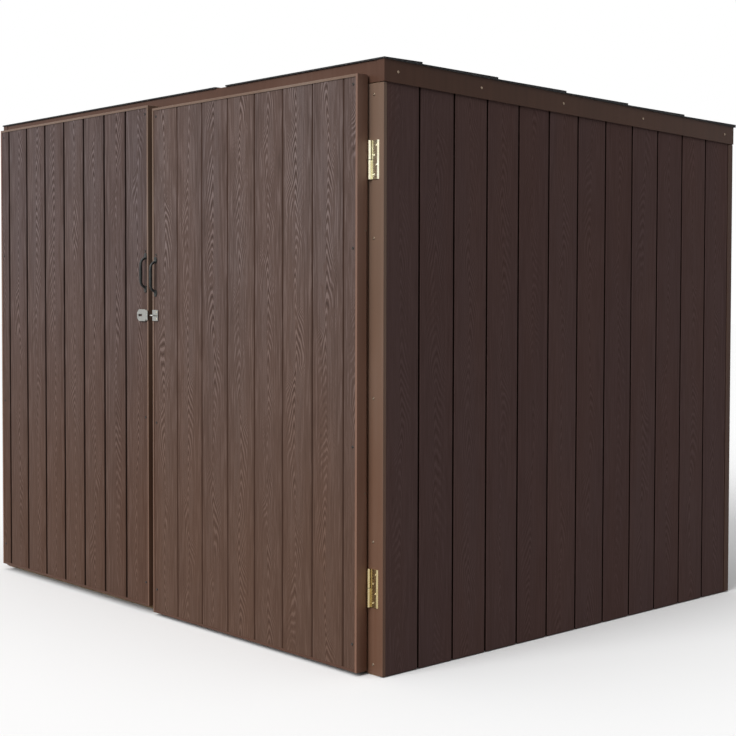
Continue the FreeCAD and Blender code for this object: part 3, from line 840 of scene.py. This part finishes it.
@dataclass
class Workshop:
    """Makes the shown pieces from the frame's nodes."""

    nodes: dict[str, bpy.types.Object]
    ease_steps: int = 2

    def body(self, node: str) -> str:
        """Name of the body that a node rides on."""
        return self.nodes[node]["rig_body"]

    def shell(self, node: str) -> Shell:
        """Copy of a node's mesh with its seams joined and its flat faces made whole.

        Args:
            node: The node's name.

        Returns:
            The copy, for the caller to free.
        """
        copy = bmesh.new()
        copy.from_mesh(self.nodes[node].data)
        bmesh.ops.remove_doubles(copy, verts=copy.verts, dist=WELD_REACH)
        bmesh.ops.dissolve_limit(copy, angle_limit=FLAT_ANGLE, verts=copy.verts, edges=copy.edges)
        return copy

    def hang(self, shell: Shell, name: str, finish: Finish, node: str) -> bpy.types.Object:
        """Turn a mesh into a piece that stands for a node and moves with it.

        Args:
            shell: The mesh, freed here.
            name: The piece's name.
            finish: Its look.
            node: The node that it stands for.

        Returns:
            The piece.
        """
        for face in shell.faces:
            face.smooth = True
        for edge in shell.edges:
            edge.smooth = True
        mesh = bpy.data.meshes.new(name)
        shell.to_mesh(mesh)
        shell.free()
        stale = mesh.attributes.get("custom_normal")
        if stale:
            mesh.attributes.remove(stale)
        mesh.materials.clear()
        mesh.materials.append(finish.material())
        piece = bpy.data.objects.new(name, mesh)
        bpy.context.scene.collection.objects.link(piece)
        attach(piece, self.body(node))
        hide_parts(node)
        LOG.info("%s rides on %s in %s", name, self.body(node), finish.name)
        return piece

    def ease(self, node: str, finish: Finish, radius: float,
             prepare: Optional[Callable[[Shell], None]] = None) -> bpy.types.Object:
        """Stand a copy with rounded edges in a node's place.

        Args:
            node: The node's name.
            finish: The piece's look.
            radius: How far its edges are eased, in metres.
            prepare: Called with the copied mesh before it becomes a piece.

        Returns:
            The piece.
        """
        shell = self.shell(node)
        if prepare:
            prepare(shell)
        piece = self.hang(shell, node + "_eased", finish, node)
        rounding = piece.modifiers.new("eased_edges", "BEVEL")
        rounding.width = radius
        rounding.segments = self.ease_steps
        rounding.limit_method = "ANGLE"
        rounding.angle_limit = EASED_ANGLE
        rounding.harden_normals = True
        return piece


@dataclass
class TimberFrame:
    """Rails, posts and rafters behind the boards."""

    ease: float = 0.0025
    groups: Sequence[str] = ("base_rail", "post", "middle_rail", "top_rail", "rafter")

    def build(self, shop: Workshop) -> None:
        """Stand every bar, with its grain along it.

        Args:
            shop: Where the pieces are made.
        """
        for node in sorted(shop.nodes):
            if node.startswith(tuple(self.groups)):
                shop.ease(node, TIMBER[longest(*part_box(node))], self.ease)


@dataclass
class BoardRow:
    """Row of upright boards with one node, each with its own stretch of grain."""

    node: str
    axis: Axis
    number: int
    outward: float
    finish: EmbossedBoard
    gape: float = 0.0006
    groove_depth: float = 0.0085
    ease: float = 0.0005
    row_step: float = 0.37

    def build(self, shop: Workshop) -> None:
        """Stand the row."""
        shop.ease(self.node, self.finish, self.ease, self.mark_grain)

    def mark_grain(self, shell: Shell) -> None:
        """Open the grooves and give each point its place across its board, its depth and its board's number.

        Args:
            shell: The row's mesh.
        """
        across = shell.verts.layers.float.new(GRAIN_ACROSS)
        seed = shell.verts.layers.float.new(GRAIN_SEED)
        sunk = shell.verts.layers.float.new(GRAIN_SUNK)
        way = self.axis.value
        deep = Axis.ACROSS.value if self.axis is Axis.DEEP else Axis.DEEP.value
        boards = sorted(islands(shell), key=lambda board: min(point.co[way] for point in board))
        boxes = [corners([point.co for point in board]) for board in boards]
        whole = max(high[way] - low[way] for low, high in boxes)
        for index, (board, (low, high)) in enumerate(zip(boards, boxes)):
            heart = low[way] + whole / 2 if index else high[way] - whole / 2
            middle = (low[way] + high[way]) / 2
            front, back = (high[deep], low[deep]) if self.outward > 0 else (low[deep], high[deep])
            own = (self.number * self.row_step + index * GOLDEN_STEP) % 1.0
            for point in board:
                point[across] = point.co[way] - heart
                point[seed] = own
                # The depth below the face drives the painted shade in the grooves; the back face gets none.
                inside = abs(point.co[deep] - back) < WELD_REACH
                point[sunk] = 0.0 if inside else abs(point.co[deep] - front) / self.groove_depth
                if abs(point.co[deep] - front) < WELD_REACH:
                    point.co[way] -= math.copysign(self.gape, point.co[way] - middle)


@dataclass
class Walls:
    """Boards of the two sides and the back."""

    rows: Sequence[BoardRow] = (
        BoardRow("wall_boards_left", Axis.DEEP, 1, -1.0, WALL_BOARD),
        BoardRow("wall_boards_right", Axis.DEEP, 2, 1.0, WALL_BOARD),
        BoardRow("wall_boards_back", Axis.ACROSS, 3, 1.0, WALL_BOARD),
    )

    def build(self, shop: Workshop) -> None:
        """Stand the three rows."""
        for row in self.rows:
            row.build(shop)


@dataclass
class Trims:
    """Strips on the corners and round the top."""

    corner_ease: float = 0.0018
    strip_ease: float = 0.0011
    fronts: Sequence[str] = ("front_trim_left", "front_trim_right")
    backs: Sequence[str] = ("back_trim_left", "back_trim_right")
    fascias: Sequence[str] = ("fascia_front", "fascia_back", "fascia_left", "fascia_right")

    def build(self, shop: Workshop) -> None:
        """Stand the strips.

        Args:
            shop: Where the pieces are made.
        """
        for node in self.fronts:
            shop.ease(node, TRIM, self.corner_ease)
        # The fascias and back trims take the darker, painted-shade copy of the coat.
        for node in (*self.backs, *self.fascias):
            shop.ease(node, SHADED_TRIM, self.strip_ease)


@dataclass
class Roof:
    """Deck boards and the courses of shingles on them."""

    deck_ease: float = 0.001
    shingle_ease: float = 0.001

    def build(self, shop: Workshop) -> None:
        """Lay the roof."""
        shop.ease("roof_deck", STRANDS, self.deck_ease)
        shop.ease("roof_shingles", FELT, self.shingle_ease)


@dataclass
class PullHandle:
    """Bowed pull on a door: oval feet, flared legs and a bar that swells at the grip."""

    side: Side
    foot_length: float = 0.022
    foot_width: float = 0.016
    foot_height: float = 0.0032
    leg_from_end: float = 0.015
    leg_radius: float = 0.0036
    flare: float = 0.0034
    flare_length: float = 0.009
    grip_radius: float = 0.0052
    fullness: float = 7.0
    foot_profile: Sequence[Pair] = ((1.0, 0.0), (1.0, 0.45), (0.95, 0.75), (0.84, 0.93), (0.62, 1.0))
    ring_count: int = 20
    bow_steps: int = 44
    middle: Vector = field(init=False)
    half: float = field(init=False)
    reach: float = field(init=False)

    def build(self, shop: Workshop) -> None:
        """Make the handle where its node is.

        Args:
            shop: Where the piece is made.
        """
        node = self.side.value + "_handle"
        low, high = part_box(node)
        self.middle = Vector(((low.x + high.x) / 2, high.y, (low.z + high.z) / 2))
        self.half = (high.z - low.z) / 2
        self.reach = high.y - low.y - self.grip_radius
        shell = bmesh.new()
        self.bar(shell)
        for way in (-1.0, 1.0):
            self.foot(shell, way)
        bmesh.ops.recalc_face_normals(shell, faces=shell.faces)
        shop.hang(shell, node + "_bow", IRON, node)

    def route(self) -> list[tuple[Vector, Vector]]:
        """Middle line of the bar from the lower foot to the upper one.

        Returns:
            Pairs of (out, up) from the handle's middle: the point and its direction.
        """
        leg = self.half - self.leg_from_end
        spots = []
        for step in range(self.bow_steps + 1):
            share = -math.cos(math.pi * step / self.bow_steps)
            spots.append(Vector((self.reach * (1.0 - abs(share) ** self.fullness), leg * share)))
        ways = [(after - before).normalized() for before, after in zip(spots, spots[2:])]
        return list(zip(spots, [Vector((1.0, 0.0)), *ways, Vector((-1.0, 0.0))]))

    def radius(self, spot: Vector) -> float:
        """Radius of the bar at a point of its middle line.

        Args:
            spot: The point as (out, up).

        Returns:
            The radius in metres.
        """
        near = max(0.0, 1.0 - spot.x / self.flare_length)
        swell = math.cos(min(1.0, abs(spot.y) / self.half) * math.pi / 2) ** 2
        return self.leg_radius + self.flare * near ** 2 + (self.grip_radius - self.leg_radius) * swell

    def bar(self, shell: Shell) -> None:
        """Sweep the bar along its middle line.

        Args:
            shell: The mesh that gets it.
        """
        rings = []
        for spot, way in self.route():
            radius = self.radius(spot)
            centre = self.middle + Vector((0.0, -spot.x, spot.y))
            normal = Vector((0.0, way.y, way.x))
            rings.append(self.ring(shell, centre, Vector((radius, 0.0, 0.0)), normal * radius))
        self.close(shell, rings)

    def foot(self, shell: Shell, way: float) -> None:
        """Make an oval foot with a rounded rim.

        Args:
            shell: The mesh that gets it.
            way: 1 for the upper foot and -1 for the lower one.
        """
        centre = self.middle + Vector((0.0, 0.0, way * (self.half - self.foot_length / 2)))
        rings = []
        for scale, height in self.foot_profile:
            level = centre - Vector((0.0, height * self.foot_height, 0.0))
            across = Vector((self.foot_width / 2 * scale, 0.0, 0.0))
            rings.append(self.ring(shell, level, across, Vector((0.0, 0.0, self.foot_length / 2 * scale))))
        self.close(shell, rings)

    def ring(self, shell: Shell, centre: Vector, first: Vector, second: Vector) -> list[Point]:
        """Closed ring of points about a centre, spanned by two half axes."""
        turns = [math.tau * index / self.ring_count for index in range(self.ring_count)]
        return [shell.verts.new(centre + first * math.cos(turn) + second * math.sin(turn)) for turn in turns]

    @staticmethod
    def close(shell: Shell, rings: Sequence[Sequence[Point]]) -> None:
        """Join rings to a solid with flat ends.

        Args:
            shell: The mesh that gets the faces.
            rings: The rings in order.
        """
        bridge(shell, rings)
        shell.faces.new(rings[0])
        shell.faces.new(rings[-1])


@dataclass
class Door:
    """One door: edge channels, boards, ledges and the handle."""

    side: Side
    number: int
    gape: float
    channel_ease: float = 0.0008
    back_round: float = 0.007
    round_steps: int = 4
    ledge_ease: float = 0.002
    # The bottom channel takes the darker, painted-shade copy of the coat.
    channels: Sequence[tuple[str, Finish]] = (("meeting_stile", TRIM), ("top_channel", TRIM),
                                              ("bottom_channel", SHADED_TRIM))

    def build(self, shop: Workshop) -> None:
        """Stand the door's pieces.

        Args:
            shop: Where the pieces are made.
        """
        name = self.side.value
        # The hinge stile takes the lighter, painted-lit copy of the coat.
        shop.ease(f"{name}_door_hinge_stile", LIT_TRIM, self.channel_ease, self.round_back)
        for channel, finish in self.channels:
            shop.ease(f"{name}_door_{channel}", finish, self.channel_ease)
        shop.ease(f"{name}_door_ledges", TIMBER[Axis.ACROSS], self.ledge_ease)
        finish = DOOR_BOARD[self.side]
        BoardRow(f"{name}_door_boards", Axis.ACROSS, self.number, -1.0, finish, self.gape).build(shop)
        PullHandle(self.side).build(shop)

    def round_back(self, shell: Shell) -> None:
        """Round the hinge stile's outer edge towards the post.

        Args:
            shell: The stile's mesh.
        """
        low, high = corners([point.co for point in shell.verts])
        outer = max(low.x, high.x, key=abs)
        on_edge = {point for point in shell.verts
                   if abs(point.co.x - outer) + abs(point.co.y - high.y) < WELD_REACH}
        back = [edge for edge in shell.edges if on_edge.issuperset(edge.verts)]
        bmesh.ops.bevel(shell, geom=back, offset=self.back_round, segments=self.round_steps, profile=0.5,
                        affect="EDGES")


@dataclass
class Hinges:
    """Lift-off hinges: leaves with their knuckles, and the pins."""

    leaf_ease: float = 0.0009
    pin_ease: float = 0.0004
    taper_width: float = 0.0055
    taper_fall: float = 0.0015
    taper_round: float = 0.0012

    def build(self, shop: Workshop) -> None:
        """Stand the leaves and pins.

        Args:
            shop: Where the pieces are made.
        """
        for side in Side:
            for level in ("lower", "upper"):
                hinge = f"{side.value}_{level}_hinge"
                shop.ease(hinge + "_post_leaf", BRASS, self.leaf_ease, self.taper)
                shop.ease(hinge + "_door_leaf", BRASS, self.leaf_ease)
        # The pins are near black: painted shade in the split between the knuckles.
        shop.ease("hinge_pins", SHADED_PIN, self.pin_ease)

    def taper(self, shell: Shell) -> None:
        """Thin a post leaf towards its free edge.

        Args:
            shell: The leaf's mesh.
        """
        low, high = corners([point.co for point in shell.verts])
        outward = math.copysign(1.0, low.x)
        free = high.x if outward > 0 else low.x
        for inset in (self.taper_width, self.taper_width + self.taper_round):
            bmesh.ops.bisect_plane(shell, geom=[*shell.verts, *shell.edges, *shell.faces],
                                   plane_co=(free - outward * inset, 0.0, 0.0), plane_no=(1.0, 0.0, 0.0))
        for point in shell.verts:
            if abs(point.co.x - free) < WELD_REACH and point.co.y < high.y - WELD_REACH:
                point.co.y += self.taper_fall


@dataclass
class Hasp:
    """Hasp on the left door and its staple on the right one."""

    ease: float = 0.0004
    pieces: Sequence[str] = ("hasp_leaf", "hasp_pin", "hasp_strap", "staple")

    def build(self, shop: Workshop) -> None:
        """Stand the hasp's pieces."""
        for node in self.pieces:
            shop.ease(node, ZINC, self.ease)


@dataclass
class ScrewBatch:
    """Screws of one node whose heads have one size, all with one finish."""

    node: str
    name: str
    least_radius: float
    most_radius: float
    style: HeadStyle
    finish: Finish
    shank_radius: float = 0.002
    tip_share: float = 0.12
    rim_share: float = 0.98
    cross_reach: float = 0.46
    cross_width: float = 0.11
    cross_taper: float = 0.6
    cross_depth: float = 0.32
    ring_count: int = 20

    def build(self, shop: Workshop) -> None:
        """Drive each screw where the node has one.

        Args:
            shop: Where the piece is made.
        """
        source = shop.shell(self.node)
        shell = bmesh.new()
        for group in islands(source):
            self.drive(shell, [point.co for point in group])
        source.free()
        bmesh.ops.recalc_face_normals(shell, faces=shell.faces)
        shop.hang(shell, self.name, self.finish, self.node)

    def drive(self, shell: Shell, points: Sequence[Vector]) -> None:
        """Add a screw in the place of a plain one, if its head is of this batch's size.

        Args:
            shell: The mesh that gets it.
            points: The plain screw's points.
        """
        low, high = corners(points)
        way = longest(low, high).value
        middle = (low + high) / 2
        far = [(point - middle) for point in points]
        for offset in far:
            offset[way] = 0.0
        radius = max(offset.length for offset in far)
        if not self.least_radius < radius < self.most_radius:
            return
        rim = [point[way] for point, offset in zip(points, far) if offset.length > self.rim_share * radius]
        outward = 1.0 if sum(rim) / len(rim) > middle[way] else -1.0
        seat = middle.copy()
        seat[way] = high[way] if outward > 0 else low[way]
        direction = Vector((0.0, 0.0, 0.0))
        direction[way] = outward
        turn = direction.to_track_quat("Z", "Y").to_matrix().to_4x4()
        head = max(rim) - min(rim)
        self.shape(shell, Matrix.Translation(seat) @ turn, radius, head, high[way] - low[way])

    def shape(self, shell: Shell, place: Matrix, radius: float, head: float, length: float) -> None:
        """Model one screw with a cross recess.

        Args:
            shell: The mesh that gets it.
            place: From the screw's own frame, with its outer end at zero and +Z outwards.
            radius: Radius of the head.
            head: Height of the head.
            length: Whole length.
        """
        sections = [(radius * out, head * up) for out, up in self.style.value]
        sections += [(self.shank_radius, -head), (self.shank_radius, -length + 2 * self.shank_radius),
                     (self.shank_radius * self.tip_share, -length)]
        rings = [self.circle(shell, place, out, up) for out, up in sections]
        bridge(shell, rings)
        shell.faces.new(rings[-1])
        self.recess(shell, place, rings[0], radius)

    def circle(self, shell: Shell, place: Matrix, radius: float, up: float) -> list[Point]:
        """Ring of points round the screw's axis."""
        steps = [math.tau * index / self.ring_count for index in range(self.ring_count)]
        return [shell.verts.new(place @ Vector((math.cos(turn) * radius, math.sin(turn) * radius, up)))
                for turn in steps]

    def recess(self, shell: Shell, place: Matrix, rim: Sequence[Point], radius: float) -> None:
        """Sink a cross into the head.

        Args:
            shell: The screw's mesh.
            place: From the screw's own frame.
            rim: The ring that bounds the head's flat middle.
            radius: Radius of the head.
        """
        reach = self.cross_reach * radius
        width = self.cross_width * radius
        taper = self.cross_taper
        depth = self.cross_depth * radius
        arm = [(reach, -width), (reach, width), (width, width)]
        outline = []
        for quarter in range(4):
            cosine = round(math.cos(quarter * math.pi / 2))
            sine = round(math.sin(quarter * math.pi / 2))
            outline += [(x * cosine - y * sine, x * sine + y * cosine) for x, y in arm]
        mouth = [shell.verts.new(place @ Vector((x, y, 0.0))) for x, y in outline]
        floor = [shell.verts.new(place @ Vector((x * taper, y * taper, -depth))) for x, y in outline]
        bridge(shell, (mouth, floor))
        shell.faces.new(floor)
        edges = {shell.edges.get((rim[index - 1], rim[index])) for index in range(len(rim))}
        edges |= {shell.edges.get((mouth[index - 1], mouth[index])) for index in range(len(mouth))}
        normal = place.to_3x3() @ Vector((0.0, 0.0, 1.0))
        bmesh.ops.triangle_fill(shell, edges=list(edges), use_beauty=True, normal=normal)


@dataclass
class Screws:
    """All the screws that show, sorted by the size of their heads."""

    pan: tuple[float, float] = (0.0037, 0.0045)
    hinge: tuple[float, float] = (0.0030, 0.0037)
    small: tuple[float, float] = (0.0022, 0.0030)

    def build(self, shop: Workshop) -> None:
        """Drive every batch.

        Args:
            shop: Where the pieces are made.
        """
        batches = [
            ScrewBatch("frame_screws", "trim_screws", *self.pan, HeadStyle.PAN, DULL_SCREW),
            ScrewBatch("frame_screws", "post_leaf_screws", *self.hinge, HeadStyle.FLUSH, BRASS),
        ]
        for side in Side:
            node = side.value + "_door_screws"
            batches += [
                ScrewBatch(node, node + "_face", *self.pan, HeadStyle.PAN, DARK_SCREW),
                ScrewBatch(node, node + "_edge", *self.hinge, HeadStyle.FLUSH, DULL_SCREW),
                ScrewBatch(node, node + "_fittings", *self.small, HeadStyle.FLUSH, BRIGHT_SCREW),
            ]
        for batch in batches:
            batch.build(shop)


@dataclass(frozen=True)
class Lamp:
    """Soft lamp so far away that it lights the whole floor evenly."""

    name: str
    direction: tuple[float, float, float]
    spread: float
    level: float
    colour: Colour = (1.0, 1.0, 1.0)

    def hang(self) -> None:
        """Put the lamp into the scene."""
        light = bpy.data.lights.new(self.name, "SUN")
        light.angle = math.radians(self.spread)
        light.energy = self.level
        light.color = self.colour
        lamp = bpy.data.objects.new(self.name, light)
        lamp.rotation_euler = Vector(self.direction).to_track_quat("-Z", "Y").to_euler()
        bpy.context.scene.collection.objects.link(lamp)


@dataclass
class Studio:
    """Pale floor, soft lamps, white surroundings and the camera at the photograph's place."""

    floor_half: float = 40.0
    floor_shown: float = 0.90
    floor_bounce: float = 0.16
    sky_shown: float = 1.0
    sky_fill: float = 0.13
    eye: tuple[float, float, float] = (3.7346, -3.2106, 1.0039)
    heading: float = -0.8055
    tilt: float = -0.0316
    roll: float = -0.0036
    focal_pixels: float = 1390.6
    frame_pixels: float = 736.0
    axis_column: float = 430.0
    axis_row: float = 339.8
    sensor: float = 36.0
    far_clip: float = 200.0
    lamps: Sequence[Lamp] = (
        Lamp("front_lamp", (-0.04, 0.85, -0.55), 40.0, 2.6),
        Lamp("top_lamp", (0.0, 0.15, -1.0), 70.0, 1.6),
    )

    def build(self) -> None:
        """Set the whole studio up."""
        self.lay_floor()
        self.light_sky()
        for lamp in self.lamps:
            lamp.hang()
        self.set_camera()
        bpy.context.scene.view_settings.view_transform = "Standard"

    @staticmethod
    def seen(tree: bpy.types.NodeTree) -> Socket:
        """Signal that is 1 for rays from the camera, a mirror or glass.

        Args:
            tree: The node tree that gets the nodes.

        Returns:
            The signal.
        """
        path = tree.nodes.new("ShaderNodeLightPath")
        signal = path.outputs["Is Camera Ray"]
        for name in ("Is Glossy Ray", "Is Transmission Ray"):
            joined = tree.nodes.new("ShaderNodeMath")
            joined.operation = "MAXIMUM"
            tree.links.new(signal, joined.inputs[0])
            tree.links.new(path.outputs[name], joined.inputs[1])
            signal = joined.outputs[0]
        return signal

    def part(self, tree: bpy.types.NodeTree, output: str, lit: bpy.types.Node, shown: bpy.types.Node) -> None:
        """Let the camera, mirrors and glass meet another shader than the light does.

        Args:
            tree: The node tree.
            output: Blender's type name of its output node.
            lit: The shader that lights the scene.
            shown: The shader that is seen.
        """
        mix = tree.nodes.new("ShaderNodeMixShader")
        for socket, signal in zip(mix.inputs, (self.seen(tree), lit.outputs[0], shown.outputs[0])):
            tree.links.new(signal, socket)
        tree.links.new(mix.outputs[0], tree.nodes.new(output).inputs["Surface"])

    def lay_floor(self) -> None:
        """Lay a wide pale floor that keeps the shed's shadow."""
        half = self.floor_half
        rim = [(-half, -half, 0.0), (half, -half, 0.0), (half, half, 0.0), (-half, half, 0.0)]
        mesh = bpy.data.meshes.new("floor")
        mesh.from_pydata(rim, [], [range(len(rim))])
        floor = bpy.data.objects.new("floor", mesh)
        bpy.context.scene.collection.objects.link(floor)
        material = bpy.data.materials.new("pale_floor")
        material.use_nodes = True
        tree = material.node_tree
        tree.nodes.clear()
        coats = []
        for level in (self.floor_bounce, self.floor_shown):
            coats.append(tree.nodes.new("ShaderNodeBsdfDiffuse"))
            coats[-1].inputs["Color"].default_value = (level, level, level, 1.0)
        self.part(tree, "ShaderNodeOutputMaterial", *coats)
        mesh.materials.append(material)

    def light_sky(self) -> None:
        """Surround the scene with white that only fills the shadows softly."""
        world = bpy.data.worlds.new("white_studio")
        world.use_nodes = True
        tree = world.node_tree
        tree.nodes.clear()
        glows = []
        for level in (self.sky_fill, self.sky_shown):
            glows.append(tree.nodes.new("ShaderNodeBackground"))
            glows[-1].inputs["Strength"].default_value = level
            glows[-1].inputs["Color"].default_value = (1.0, 1.0, 1.0, 1.0)
        self.part(tree, "ShaderNodeOutputWorld", *glows)
        bpy.context.scene.world = world

    def set_camera(self) -> None:
        """Stand the camera where the photograph was taken."""
        lens = bpy.data.cameras.new("camera")
        lens.sensor_width = self.sensor
        lens.lens = self.focal_pixels / self.frame_pixels * self.sensor
        lens.shift_x = 0.5 - self.axis_column / self.frame_pixels
        lens.shift_y = self.axis_row / self.frame_pixels - 0.5
        lens.clip_end = self.far_clip
        camera = bpy.data.objects.new("camera", lens)
        camera.location = self.eye
        camera.rotation_euler = Euler((math.pi / 2 + self.tilt, self.roll, -self.heading), "XYZ")
        bpy.context.scene.collection.objects.link(camera)
        bpy.context.scene.camera = camera


def main() -> None:
    """Load the frame, dress every node and set the studio up."""
    logging.basicConfig(level=logging.INFO, format="%(name)s: %(message)s")
    for leftover in list(bpy.data.objects):
        bpy.data.objects.remove(leftover)
    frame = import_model()
    shop = Workshop(frame["nodes"])
    TimberFrame().build(shop)
    Walls().build(shop)
    Trims().build(shop)
    Roof().build(shop)
    Door(Side.LEFT, number=4, gape=0.0020).build(shop)
    Door(Side.RIGHT, number=5, gape=-0.0006).build(shop)
    Hinges().build(shop)
    Hasp().build(shop)
    Screws().build(shop)
    Studio().build()


if __name__ == "__main__":
    main()
